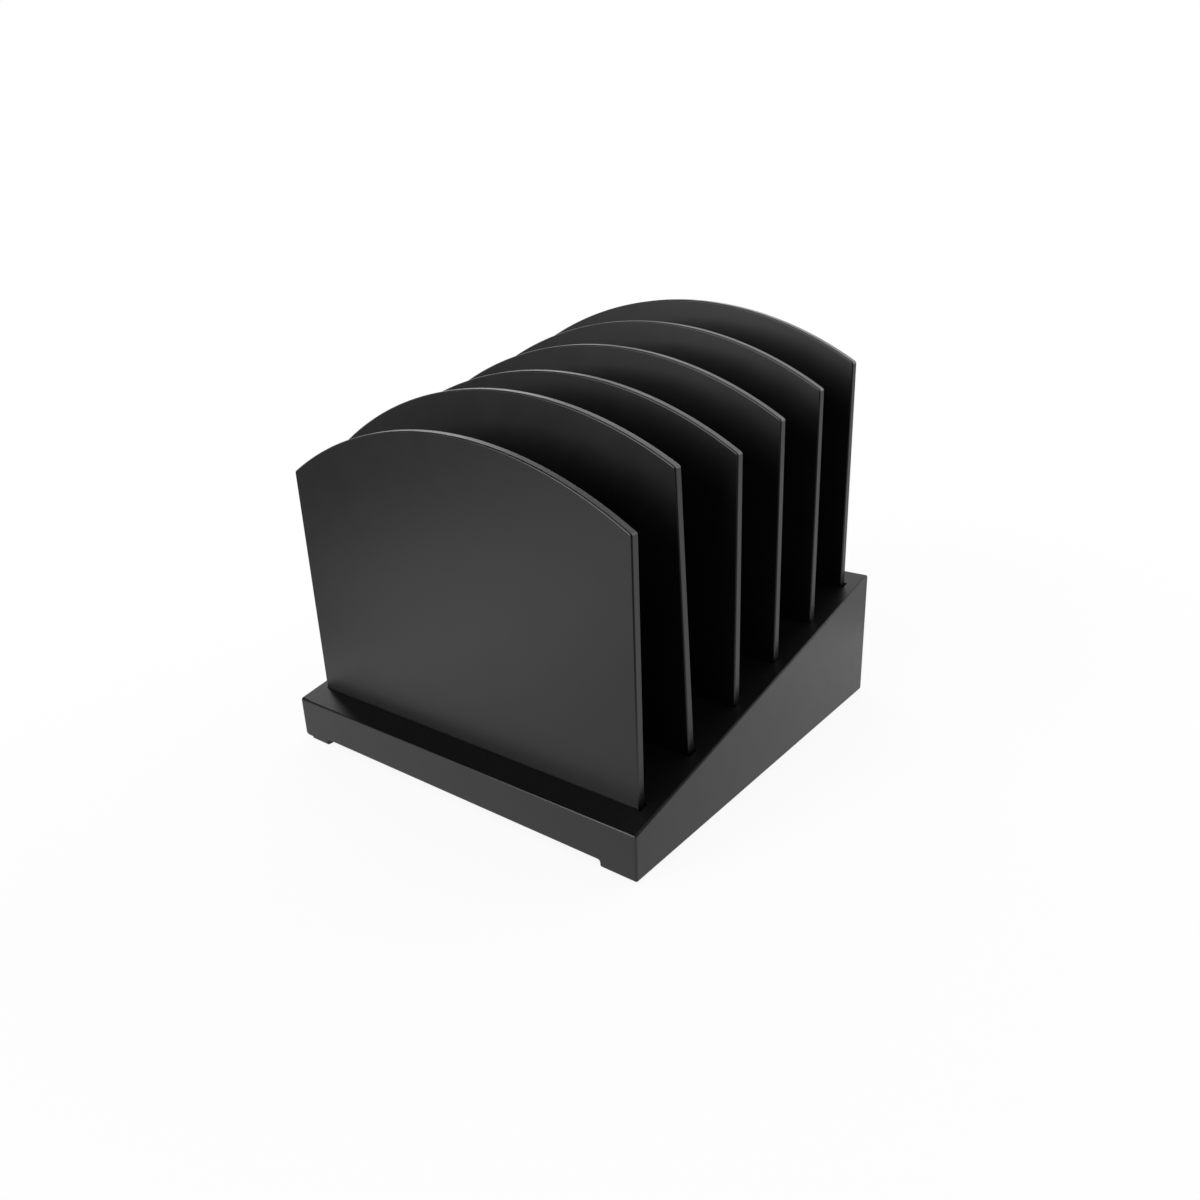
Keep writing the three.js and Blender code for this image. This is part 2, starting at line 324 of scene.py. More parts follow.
def eased_board(
    outline: Outline,
    view: View,
    start: float,
    end: float,
    start_round: float = 0.0,
    end_round: float = 0.0,
    steps: int = CURVE_STEPS,
) -> Skin:
    """A board of one outline, with its edges rounded towards its two flat faces.

    At an angle a from 0 on the flat face to 90 degrees on the wall, an edge of radius r lies r times
    one minus sine a inside the outline and r times one minus cosine a below the face. Its normal is
    the outline's times sine a plus the face's times cosine a.

    Args:
        outline: The board's outline.
        view: The view that the outline is drawn in.
        start: Lowest coordinate across the board.
        end: Highest coordinate across the board.
        start_round: Radius of the edges at the lowest coordinate.
        end_round: Radius of the edges at the highest coordinate.
        steps: Steps round each edge.

    Returns:
        The board's surface.
    """
    basis = view.basis()
    if basis[2].sum() < 0:
        start, end = -end, -start
        start_round, end_round = end_round, start_round
    quarter = np.linspace(0.0, np.pi / 2, steps + 1)
    angle = np.concatenate([quarter, quarter[::-1]])[:, None]
    facing = np.repeat([-1.0, 1.0], steps + 1)[:, None]
    radius = np.repeat([start_round, end_round], steps + 1)[:, None]
    face = np.repeat([start, end], steps + 1)[:, None]
    inset = radius * (1 - np.sin(angle))
    flat = outline.points[None] - inset[..., None] * outline.insets[None]
    depth = face - facing * radius * (1 - np.cos(angle)) * outline.reach[None]
    share = np.minimum(outline.easing[None], 1.0)
    tilt = np.pi / 2 - (np.pi / 2 - angle) * share
    outward = outline.normals[None] * np.sin(tilt)[..., None]
    across = facing * np.cos(tilt)
    points = flat @ basis[:2] + depth[..., None] * basis[2]
    normals = outward @ basis[:2] + across[..., None] * basis[2]
    edge = np.sin(2 * angle) * share * (radius > 0)
    polish = np.maximum(edge, outline.bend[None] * np.sin(tilt))
    number = np.arange(polish.size).reshape(polish.shape)
    ahead = np.roll(number, -1, 1)
    a, b, c, d = number[:-1], ahead[:-1], ahead[1:], number[1:]
    triangles = np.concatenate([np.stack(corners, -1).reshape(-1, 3) for corners in ((a, b, c), (a, c, d))])
    ends = [(number[0][::-1], -basis[2]), (number[-1], basis[2])]
    return Skin(points.reshape(-1, 3), normals.reshape(-1, 3), polish.reshape(-1), triangles, ends)


class NodeSheet:
    """The nodes of one material or world, with short ways to add and join them."""

    def __init__(self, owner: Material | World) -> None:
        """Takes a material or world and empties its nodes.

        Args:
            owner: The material or world.
        """
        owner.use_nodes = True
        self.owner = owner
        self.tree = owner.node_tree
        self.tree.nodes.clear()

    def add(self, kind: str, inputs: dict[str | int, object] | None = None, **settings: object) -> Node:
        """Adds a node.

        Args:
            kind: The node's type without the words Shader and Node.
            inputs: Values and sources for its sockets. A source is another node's output socket.
            settings: Values for the node's own properties.

        Returns:
            The new node.
        """
        node = self.tree.nodes.new("ShaderNode" + kind)
        for name, value in settings.items():
            setattr(node, name, value)
        for name, value in (inputs or {}).items():
            if isinstance(value, NodeSocket):
                self.tree.links.new(value, node.inputs[name])
            else:
                node.inputs[name].default_value = value
        return node

    def noise(self, place: NodeSocket, size: float, detail: float = 2.0) -> NodeSocket:
        """Adds noise from 0 to 1, with spots of a size in metres and a number of finer layers."""
        inputs = {"Vector": place, "Scale": 1 / size, "Detail": detail}
        return self.add("TexNoise", inputs).outputs["Fac"]

    def spread(
        self,
        value: NodeSocket,
        low: float = 0.0,
        high: float = 1.0,
        start: float = NOISE_LOW,
        end: float = NOISE_HIGH,
        **settings: object,
    ) -> NodeSocket:
        """Maps values from start to end, such as the used part of a noise pattern, to low and high."""
        inputs = {"Value": value, "From Min": start, "From Max": end, "To Min": low, "To Max": high}
        return self.add("MapRange", inputs, **settings).outputs["Result"]

    def swing(self, value: NodeSocket, middle: float, reach: float) -> NodeSocket:
        """Maps the used part of a noise pattern to a middle value and a reach to each side."""
        return self.spread(value, middle - reach, middle + reach)

    def along(self, place: NodeSocket, grain: Grain, stretch: float) -> NodeSocket:
        """Scales coordinates down on the grain's axis, which draws a pattern out along the grain."""
        scale = [stretch if axis is grain else 1.0 for axis in Grain]
        return self.add("Mapping", {"Vector": place, "Scale": scale}).outputs[0]

    def maths(self, operation: str, first: object, second: object, **settings: object) -> NodeSocket:
        """Adds a node that joins two numbers by an operation."""
        return self.add("Math", {0: first, 1: second}, operation=operation, **settings).outputs[0]

    def mixed(self, share: object, first: object, second: object) -> NodeSocket:
        """Adds a node that mixes two colours."""
        inputs = {MIX_SHARE: share, MIX_FIRST: first, MIX_SECOND: second}
        return self.add("Mix", inputs, data_type="RGBA").outputs[MIX_RESULT]

    def bump(self, height: NodeSocket, depth: float, **under: NodeSocket) -> NodeSocket:
        """Adds a bump whose pattern from 0 to 1 stands for a depth in metres, over one named Normal."""
        inputs = {"Height": height, "Distance": depth, "Strength": 1.0, **under}
        return self.add("Bump", inputs).outputs["Normal"]

    def faded(self, value: NodeSocket, near: float, far: float) -> NodeSocket:
        """A socket that is 1 where a value is near the first limit and fades to 0 at the second."""
        return self.spread(value, 1.0, 0.0, near, far, interpolation_type="SMOOTHSTEP")

    def seen(self) -> NodeSocket:
        """Tells the rays that see a surface's look from those that fetch its light.

        Returns:
            A socket that is 1 for rays from the camera, mirrors and glass, and 0 for all others.
        """
        path = self.add("LightPath").outputs
        rays = self.maths("ADD", path["Is Camera Ray"], path["Is Glossy Ray"])
        return self.maths("ADD", rays, path["Is Transmission Ray"], use_clamp=True)

    def white_for_camera(self, level: NodeSocket) -> NodeSocket:
        """A level as it is, but at least plain white for rays from the camera."""
        return self.maths("MAXIMUM", level, self.add("LightPath").outputs["Is Camera Ray"])

    def principled(self, inputs: dict[str, object]) -> Material:
        """Gives the material a principled shader with these values and sources."""
        self.add("OutputMaterial", {"Surface": self.add("BsdfPrincipled", inputs).outputs[0]})
        return self.owner


@dataclass(frozen=True)
class SatinLacquer:
    """Black satin lacquer, sprayed and rubbed down on smooth board, with thin overspray inside the base."""

    name: str = "satin_black_lacquer"
    tone: Tone = (0.0005, 0.0006, 0.0006, 1)
    tone_mottled: Tone = (0.0008, 0.001, 0.001, 1)
    tone_inside: Tone = (0.012, 0.011, 0.010, 1)
    mottle_size: float = 30 * MM
    gloss_index: float = 1.6
    roughness: float = 0.38
    roughness_swing: float = 0.015
    roughness_size: float = 14 * MM
    edge_polish: float = 0.08
    inside_dullness: float = 0.3
    peel_size: float = 2.5 * MM
    peel_depth: float = 0.006 * MM
    wave_size: float = 45 * MM
    wave_depth: float = 0.12 * MM

    def material(self) -> Material:
        """Builds the material from mottling, polished edges, slow waves and orange peel.

        Returns:
            The material.
        """
        sheet = NodeSheet(bpy.data.materials.new(self.name))
        place = sheet.add("TexCoord").outputs["Object"]
        polish = sheet.add("Attribute", attribute_name="polish").outputs["Fac"]
        inside = sheet.add("Attribute", attribute_name="inside").outputs["Fac"]
        mottle = sheet.spread(sheet.noise(place, self.mottle_size, detail=3.0))
        coat = sheet.mixed(mottle, self.tone, self.tone_mottled)
        coat = sheet.mixed(inside, coat, self.tone_inside)
        patches = sheet.noise(place, self.roughness_size, detail=3.0)
        rough = sheet.swing(patches, self.roughness, self.roughness_swing)
        rough = sheet.maths("SUBTRACT", rough, sheet.maths("MULTIPLY", polish, self.edge_polish))
        rough = sheet.maths("ADD", rough, sheet.maths("MULTIPLY", inside, self.inside_dullness))
        waves = sheet.bump(sheet.noise(place, self.wave_size, detail=1.0), self.wave_depth)
        peel = sheet.bump(sheet.noise(place, self.peel_size), self.peel_depth, Normal=waves)
        inputs = {"Base Color": coat, "Roughness": rough, "Normal": peel, "IOR": self.gloss_index}
        return sheet.principled(inputs)


@dataclass(frozen=True)
class ThinUndercoat:
    """A thin dull black spray over sawn wood, as the blocks and cleats inside the base have."""

    name: str
    grain: Grain
    tone: Tone = (0.010, 0.009, 0.008, 1)
    tone_thin: Tone = (0.030, 0.023, 0.016, 1)
    gloss_index: float = 1.45
    roughness: float = 0.72
    roughness_swing: float = 0.06
    patch_size: float = 9 * MM
    fibre_size: float = 1.2 * MM
    fibre_stretch: float = 0.06
    fibre_depth: float = 0.05 * MM

    def material(self) -> Material:
        """Builds the material, with the spray thinnest where the fibres and the patches are both high.

        Returns:
            The material.
        """
        sheet = NodeSheet(bpy.data.materials.new(self.name))
        place = sheet.add("TexCoord").outputs["Object"]
        along = sheet.along(place, self.grain, self.fibre_stretch)
        fibres = sheet.noise(along, self.fibre_size, detail=3.0)
        patches = sheet.noise(place, self.patch_size, detail=3.0)
        thin = sheet.spread(sheet.maths("MULTIPLY", fibres, patches))
        inputs = {
            "Base Color": sheet.mixed(thin, self.tone, self.tone_thin),
            "Roughness": sheet.swing(patches, self.roughness, self.roughness_swing),
            "Normal": sheet.bump(fibres, self.fibre_depth),
            "IOR": self.gloss_index,
        }
        return sheet.principled(inputs)


@dataclass(frozen=True)
class PlainBeech:
    """Turned beech with its short dark flecks, bare inside the joints."""

    name: str
    grain: Grain
    tone: Tone = (0.56, 0.33, 0.16, 1)
    tone_late: Tone = (0.44, 0.24, 0.11, 1)
    tone_fleck: Tone = (0.27, 0.13, 0.06, 1)
    roughness: float = 0.62
    roughness_swing: float = 0.05
    stretch: float = 0.08
    band_size: float = 1.6 * MM
    band_depth: float = 0.02 * MM
    fleck_size: float = 0.35 * MM
    fleck_start: float = 0.62
    fleck_full: float = 0.72

    def material(self) -> Material:
        """Builds the material from bands of late wood and the flecks over them.

        Returns:
            The material.
        """
        sheet = NodeSheet(bpy.data.materials.new(self.name))
        place = sheet.add("TexCoord").outputs["Object"]
        along = sheet.along(place, self.grain, self.stretch)
        bands = sheet.spread(sheet.noise(along, self.band_size))
        specks = sheet.noise(along, self.fleck_size, detail=1.0)
        flecks = sheet.spread(specks, start=self.fleck_start, end=self.fleck_full)
        wood = sheet.mixed(bands, self.tone, self.tone_late)
        inputs = {
            "Base Color": sheet.mixed(flecks, wood, self.tone_fleck),
            "Roughness": sheet.swing(bands, self.roughness, self.roughness_swing),
            "Normal": sheet.bump(bands, self.band_depth),
        }
        return sheet.principled(inputs)


@dataclass(frozen=True)
class DenseFelt:
    """Dense black felt with a matted surface of short fibres."""

    name: str = "dense_black_felt"
    tone: Tone = (0.012, 0.012, 0.012, 1)
    tone_fibre: Tone = (0.035, 0.034, 0.033, 1)
    lowest_roughness: float = 0.88
    fibre_size: float = 0.5 * MM
    fibre_depth: float = 0.15 * MM
    sheen: float = 0.3
    sheen_roughness: float = 0.5

    def material(self) -> Material:
        """Builds the material from one pattern of fibres.

        Returns:
            The material.
        """
        sheet = NodeSheet(bpy.data.materials.new(self.name))
        place = sheet.add("TexCoord").outputs["Object"]
        fibres = sheet.noise(place, self.fibre_size, detail=4.0)
        inputs = {
            "Base Color": sheet.mixed(sheet.spread(fibres), self.tone, self.tone_fibre),
            "Roughness": sheet.spread(fibres, self.lowest_roughness),
            "Normal": sheet.bump(fibres, self.fibre_depth),
            "Sheen Weight": self.sheen,
            "Sheen Roughness": self.sheen_roughness,
        }
        return sheet.principled(inputs)


@dataclass(frozen=True)
class Incline:
    """The sloping line of the deck's top, as the side panels show it from the side.

    Attributes:
        front: Y of the base's front face.
        height: Z of the slope at the front face.
        rise: Height gained for each metre to the rear.
        foot: Z of the boards' lower edges.
        rear: Y of the base's rear face.
        deck_thickness: Thickness of the deck, square to the slope.
        groove_depth: Depth of the deck's grooves at their middles.
    """

    front: float
    height: float
    rise: float
    foot: float
    rear: float
    deck_thickness: float = 18 * MM
    groove_depth: float = 14 * MM

    @classmethod
    def from_frame(cls) -> "Incline":
        """Measures the slope on the left side panel of the frame.

        Returns:
            The measured line.
        """
        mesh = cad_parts["side_panel_left"].data
        places = np.empty(len(mesh.vertices) * 3)
        mesh.vertices.foreach_get("co", places)
        places = places.reshape(-1, 3)
        low, high = places.min(0), places.max(0)
        height = places[places[:, 1] < low[1] + TOUCH, 2].max()
        rise = (high[2] - height) / (high[1] - low[1])
        return cls(front=low[1], height=height, rise=rise, foot=low[2], rear=high[1])

    def top(self, y: float) -> float:
        """Height of the deck's top at a Y."""
        return self.height + self.rise * (y - self.front)

    def under(self, y: float) -> float:
        """Height of the deck's underside at a Y."""
        return self.top(y) - self.deck_thickness * math.hypot(1, self.rise)

    def groove_floor(self, y: float) -> float:
        """Height of the floor of a groove whose middle is at a Y."""
        return self.top(y) - self.groove_depth


@dataclass
class SubAssembly:
    """Pieces that belong together, with the calls that join each to the frame.

    Attributes:
        incline: The base's sloping line.
        finish: The pieces' material.
    """

    incline: Incline
    finish: Material

    def inner_half(self) -> float:
        """Half the width between the side panels."""
        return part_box("side_panel_right")[0].x

    def fitted(
        self,
        skin: Skin,
        node: str,
        slot: str,
        body: str = "base",
        inward: Place = (0, 0, 0),
        finish: Material | None = None,
    ) -> Object:
        """Makes a piece of a surface, dresses it, and lets it ride on its body and stand for its node.

        Args:
            skin: The piece's surface.
            node: The node that it stands for. The piece has the node's name with _skin after it.
            slot: The record's material slot. Not used.
            body: The body that it rides on.
            inward: The direction into the base's hollow, or zeros for none.
            finish: Its material, or None for the sub-assembly's own.

        Returns:
            The new piece.
        """
        piece = skin.to_object(node + "_skin", inward)
        piece.data.materials.append(finish or self.finish)
        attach(piece, body)
        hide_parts(piece.name.removesuffix("_skin"))
        return piece


@dataclass
class SidePanels(SubAssembly):
    """The two wedge-shaped side panels, rounded outside and square where the other boards meet them.

    The left one is rubbed rounder along its lower edge and up its front edge, as the photograph shows.

    Attributes:
        edge_radius: Radius of the outer edges and of the outline's corners.
        rubbed_foot: Radius of the left panel's outer lower edge.
        rubbed_front: Radius of its outer front edge.
    """

    edge_radius: float = 1.5 * MM
    rubbed_foot: float = 3.5 * MM
    rubbed_front: float = 2.4 * MM

    def build(self) -> list[Object]:
        """Builds both panels.

        Returns:
            The panels.
        """
        line = self.incline
        corners = [
            (line.front, line.foot),
            (line.rear, line.foot),
            (line.rear, line.top(line.rear)),
            (line.front, line.height),
        ]
        edge, foot, front = self.edge_radius, self.rubbed_foot, self.rubbed_front
        panels = []
        for side in Side:
            radii, easing, rounds = [edge] * 4, [1.0] * 4, (0.0, edge)
            if side is Side.LEFT:
                radii, easing = [foot, foot, edge, front], [foot / edge, 1.0, 1.0, front / edge]
                rounds = (edge, 0.0)
            outline = Outline.from_corners(corners, radii, easing)
            node = f"side_panel_{side.name.lower()}"
            low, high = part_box(node)
            skin = eased_board(outline, View.SIDE, low.x, high.x, *rounds)
            panels.append(self.fitted(skin, node, "black_lacquer", inward=(-side.value, 0, 0)))
        return panels


@dataclass
class Rails(SubAssembly):
    """The front rail with its cut-out and the back rail, both between the side panels.

    Attributes:
        edge_radius: Radius of the outer lower edges.
        inner_radius: Radius of the lower edges inside the base.
        foot_width: Length of each foot that the cut-out leaves, side panel included.
        cutout_height: Height of the cut-out.
        cutout_radius: Radius of the cut-out's corners.
    """

    edge_radius: float = 1.5 * MM
    inner_radius: float = 0.5 * MM
    foot_width: float = 27 * MM
    cutout_height: float = 4.2 * MM
    cutout_radius: float = 1.5 * MM

    def build_front(self) -> Object:
        """Builds the front rail level, and then raises its top to the slope of the deck above it.

        Returns:
            The rail.
        """
        line = self.incline
        low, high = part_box("front_rail")
        half = self.inner_half()
        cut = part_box("side_panel_right")[1].x - self.foot_width
        lifted, top = line.foot + self.cutout_height, line.under(line.front)
        corners = [
            (-half, line.foot),
            (-cut, line.foot),
            (-cut, lifted),
            (cut, lifted),
            (cut, line.foot),
            (half, line.foot),
            (half, top),
            (-half, top),
        ]
        radii = [0.0] + [self.cutout_radius] * 4 + [0.0] * 3
        easing = [1.0] * 5 + [0.0] * 3
        outline = Outline.from_corners(corners, radii, easing)
        skin = eased_board(outline, View.FRONT, low.y, high.y, self.edge_radius, self.inner_radius)
        raised = skin.points[:, 2] > top - TOUCH
        skin.points[raised, 2] += line.rise * (skin.points[raised, 1] - line.front)
        return self.fitted(skin, "front_rail", "black_lacquer", inward=(0, 1, 0))

    def build_back(self) -> Object:
        """Builds the back rail, which is one side view carried from panel to panel.

        Returns:
            The rail.
        """
        line = self.incline
        low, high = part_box("back_rail")
        half = self.inner_half()
        corners = [
            (low.y, line.foot),
            (high.y, line.foot),
            (high.y, line.under(high.y)),
            (low.y, line.under(low.y)),
        ]
        outline = Outline.from_corners(corners, [self.inner_radius, self.edge_radius, 0.0, 0.0], [0.0] * 4)
        skin = eased_board(outline, View.SIDE, -half, half)
        return self.fitted(skin, "back_rail", "black_lacquer", inward=(0, -1, 0))

    def build(self) -> list[Object]:
        """Builds both rails."""
        return [self.build_front(), self.build_back()]


@dataclass
class Deck(SubAssembly):
    """The sloping deck with its six plumb, flat-bottomed grooves.

    Attributes:
        edge_radius: Radius of the front and rear top edges.
        lip_radius: Radius of the grooves' lips.
        groove_clearance: Room on each side of a divider.
    """

    edge_radius: float = 1.5 * MM
    lip_radius: float = 0.35 * MM
    groove_clearance: float = 0.3 * MM

    def build(self) -> list[Object]:
        """Builds the deck, which is one side view carried from panel to panel.

        Returns:
            The deck alone, in a list.
        """
        line = self.incline
        half = self.inner_half()
        corners = [
            (line.front, line.under(line.front)),
            (line.rear, line.under(line.rear)),
            (line.rear, line.top(line.rear)),
        ]
        radii = [0.0, 0.0, self.edge_radius]
        for number in range(GROOVES, 0, -1):
            low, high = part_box(f"divider_{number}")
            near = low.y - self.groove_clearance
            far = high.y + self.groove_clearance
            floor = line.groove_floor((near + far) / 2)
            corners += [(far, line.top(far)), (far, floor), (near, floor), (near, line.top(near))]
            radii += [self.lip_radius, 0.0, 0.0, self.lip_radius]
        corners.append((line.front, line.height))
        radii.append(self.edge_radius)
        outline = Outline.from_corners(corners, radii, [0.0] * len(corners))
        skin = eased_board(outline, View.SIDE, -half, half)
        return [self.fitted(skin, "slotted_deck", "black_lacquer", inward=(0, 0, -1))]


@dataclass
class InnerWoodwork(SubAssembly):
    """The corner blocks and cleats that are glued inside the base, right under the deck.

    Attributes:
        lying_finish: Finish of the cleats, whose grain runs front to back. The blocks' grain stands up.
        edge_radius: Radius of their sawn edges, taken off with paper.
        glue_line: Width of the glue lines that the frame leaves open.
        steps: Steps round their edges.
    """

    lying_finish: Material
    edge_radius: float = 0.6 * MM
    glue_line: float = 0.3 * MM
    steps: int = 3

    def stick(self, node: str, end: End | None, side: Side, drop: float) -> Skin:
        """One block or cleat, with its top and maybe its underside cut to the slope.

        Args:
            node: The node that it stands for.
            end: The rail that it is glued to, or None.
            side: The side panel that it is glued to.
            drop: Height of a sloping underside below the deck's, or 0 for a level one.

        Returns:
            Its surface, widened by the glue lines so that it touches what it is glued to.
        """
        line = self.incline
        low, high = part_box(node)
        near = low.y - (self.glue_line if end is End.FRONT else 0.0)
        far = high.y + (self.glue_line if end is End.BACK else 0.0)
        left = low.x - (self.glue_line if side is Side.LEFT else 0.0)
        right = high.x + (self.glue_line if side is Side.RIGHT else 0.0)
        lower_near = line.under(near) - drop if drop else line.foot
        lower_far = line.under(far) - drop if drop else line.foot
        corners = [(near, lower_near), (far, lower_far), (far, line.under(far)), (near, line.under(near))]
        edge = self.edge_radius
        outline = Outline.from_corners(corners, [edge] * 4, [1.0] * 4, self.steps)
        return eased_board(outline, View.SIDE, left, right, edge, edge, self.steps)

    def build(self) -> list[Object]:
        """Builds the blocks and the cleats.

        Returns:
            The four blocks and two cleats.
        """
        pieces = []
        for side in Side:
            hand = side.name.lower()
            for end in End:
                node = f"corner_block_{end.name.lower()}_{hand}"
                pieces.append(self.fitted(self.stick(node, end, side, 0.0), node, "black_undercoat"))
            node = f"deck_cleat_{hand}"
            low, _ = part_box(node)
            cleat = self.stick(node, None, side, self.incline.under(low.y) - low.z)
            pieces.append(self.fitted(cleat, node, "black_undercoat", finish=self.lying_finish))
        return pieces


@dataclass
class FeltPads(SubAssembly):
    """Four thin round felt pads under the corner blocks.

    Attributes:
        rim_radius: Radius of the lower rim, which the base's weight has pressed round.
        ripple: How far the cut edge strays from a true circle.
        waves: How many slow waves the ripple has round the pad.
        fine_waves: How many quick waves it has.
        fine_share: How high the quick waves are beside the slow ones.
        steps: Steps round a pad.
        rim_steps: Steps round its rim.
    """

    rim_radius: float = 0.35 * MM
    ripple: float = 0.06 * MM
    waves: int = 5
    fine_waves: int = 11
    fine_share: float = 0.6
    steps: int = 72
    rim_steps: int = 4

    def build(self) -> list[Object]:
        """Builds the pads, each a circle whose radius ripples by a sum of sines inside its full size.

        Returns:
            The four pads.
        """
        angle = np.arange(self.steps) * 2 * np.pi / self.steps
        direction = np.stack([np.cos(angle), np.sin(angle)], 1)
        ones = np.ones(self.steps)
        rim = self.rim_radius
        pieces = []
        for order, (end, side) in enumerate((end, side) for end in End for side in Side):
            node = f"felt_pad_{end.name.lower()}_{side.name.lower()}"
            low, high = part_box(node)
            wave = np.sin(self.waves * angle + order)
            wave += self.fine_share * np.sin(self.fine_waves * angle + 2 * order)
            radius = (high.x - low.x) / 2 - self.ripple * (1 + wave / (1 + self.fine_share)) / 2
            centre = np.array([(low.x + high.x) / 2, (low.y + high.y) / 2])
            points = centre + radius[:, None] * direction
            outline = Outline(points, direction, direction, ones, ones, 0 * ones)
            skin = eased_board(outline, View.PLAN, low.z, high.z, rim, rim / 2, self.rim_steps)
            pieces.append(self.fitted(skin, node, "black_felt"))
        return pieces


@dataclass
class Dowels(SubAssembly):
    """The beech dowels inside the joints, whose own nodes are shown.

    Attributes:
        upright_finish: Beech along Z, for the deck dowels. The finish itself is beech along X.
    """

    upright_finish: Material

    def build(self) -> list[Object]:
        """Gives each dowel the beech whose grain runs along it.

        Returns:
            The dowels' nodes.
        """
        dowels = []
        for name, node in sorted(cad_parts.items()):
            if "dowel" in name:
                node.data.materials.clear()
                node.data.materials.append(self.finish if name.startswith("side") else self.upright_finish)
                dowels.append(node)
                log.info("%s: kept from the frame, in %s", name, node.data.materials[0].name)
        return dowels


@dataclass
class Dividers(SubAssembly):
    """Six equal dividers with arched tops, loose in their grooves, the second one cocked.

    Attributes:
        side_height: Height of the straight sides.
        arch_rise: Height of the arch above the sides.
        shoulder_radius: Radius where the arch meets a side.
        heel_radius: Radius of the lower corners.
        edge_radius: Radius of the eased edges.
        cocked: Number of the divider that stands cocked.
        cocked_angle: How far it is turned about its lower left corner.
        seat_gap: Height of the dividers above the groove floors.
        arch_steps: Steps along the arch.
        shoulder_steps: Steps along a shoulder.
    """

    side_height: float = 176.5 * MM
    arch_rise: float = 39.5 * MM
    shoulder_radius: float = 2.5 * MM
    heel_radius: float = 1.5 * MM
    edge_radius: float = 1.0 * MM
    cocked: int = 2
    cocked_angle: float = math.radians(2.6)
    seat_gap: float = 0.2 * MM
    arch_steps: int = 96
    shoulder_steps: int = 8

    def outline(self, half: float, seat: float) -> Outline:
        """A divider's front view.

        The arch is a circle through both top corners and the apex. Each shoulder is a small circle that
        touches the side from inside and the arch from within.

        Args:
            half: Half the width.
            seat: Height of the lower edge.

        Returns:
            The outline.
        """
        rise, shoulder, heel = self.arch_rise, self.shoulder_radius, self.heel_radius
        radius = (half**2 + rise**2) / (2 * rise)
        middle = seat + self.side_height + rise - radius
        across = half - shoulder
        up = middle + math.sqrt((radius - shoulder) ** 2 - across**2)
        angle = math.atan2(up - middle, across)
        quarter = math.pi / 2
        return Outline.from_arcs(
            [
                (half - heel, seat + heel, heel, -quarter, 0.0, CURVE_STEPS),
                (across, up, shoulder, 0.0, angle, self.shoulder_steps),
                (0.0, middle, radius, angle, math.pi - angle, self.arch_steps),
                (-across, up, shoulder, math.pi - angle, math.pi, self.shoulder_steps),
                (heel - half, seat + heel, heel, math.pi, 3 * quarter, CURVE_STEPS),
            ]
        )

    def build(self) -> list[Object]:
        """Builds the dividers, each riding on its own body.

        Returns:
            The six dividers.
        """
        pieces = []
        low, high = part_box("divider_1")
        half = (high.x - low.x) / 2
        for number in range(1, GROOVES + 1):
            node = f"divider_{number}"
            low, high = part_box(node)
            seat = self.incline.groove_floor((low.y + high.y) / 2) + self.seat_gap
            outline = self.outline(half, seat)
            skin = eased_board(outline, View.FRONT, low.y, high.y, self.edge_radius, self.edge_radius)
            place = Matrix.Translation(((low.x + high.x) / 2, 0, 0))
            if number == self.cocked:
                corner = Vector((-half, 0, seat))
                turn = Matrix.Rotation(-self.cocked_angle, 4, "Y")
                place = Matrix.Translation(corner) @ turn @ Matrix.Translation(-corner)
            pieces.append(self.fitted(skin.moved(place), node, "black_lacquer", body=node))
        return pieces


@dataclass(frozen=True)
class Softbox:
    """A rectangular area lamp of an even brightness, which faces the object.

    Attributes:
        name: The lamp's name.
        azimuth: Its direction, from straight in front towards the right.
        elevation: Its direction above the level.
        width: Its width in metres.
        height: Its height in metres.
        brightness: Its radiance, where 1 is white.
        distance: Its distance from the aim.
        aim: The point that it faces.
    """

    name: str
    azimuth: float
    elevation: float
    width: float
    height: float
    brightness: float
    distance: float = 5.0
    aim: Place = (0.0, 0.0, 0.1)

    def build(self) -> Object:
        """Hangs the lamp. Its power is pi times its area times its brightness.

        Returns:
            The lamp.
        """
        lamp = bpy.data.lights.new(self.name, "AREA")
        lamp.shape = "RECTANGLE"
        lamp.size = self.width
        lamp.size_y = self.height
        lamp.energy = math.pi * self.width * self.height * self.brightness
        thing = linked(self.name, lamp)
        away = towards(self.azimuth, self.elevation)
        place = Vector(self.aim) + self.distance * away
        thing.matrix_world = Matrix.Translation(place) @ away.to_track_quat("Z", "Y").to_matrix().to_4x4()
        thing.visible_camera = False
        return thing


@dataclass(frozen=True)
class PaintedLightPool:
    """A round pool of light painted on the floor, a glow that no lamp casts, as glossy surfaces see it.

    Attributes:
        centre: Its middle.
        inner: Radius up to which it has its full brightness.
        outer: Radius at which it has faded out.
        brightness: The painted light that it adds, where 1 is white.
    """

    centre: Place
    inner: float
    outer: float
    brightness: float


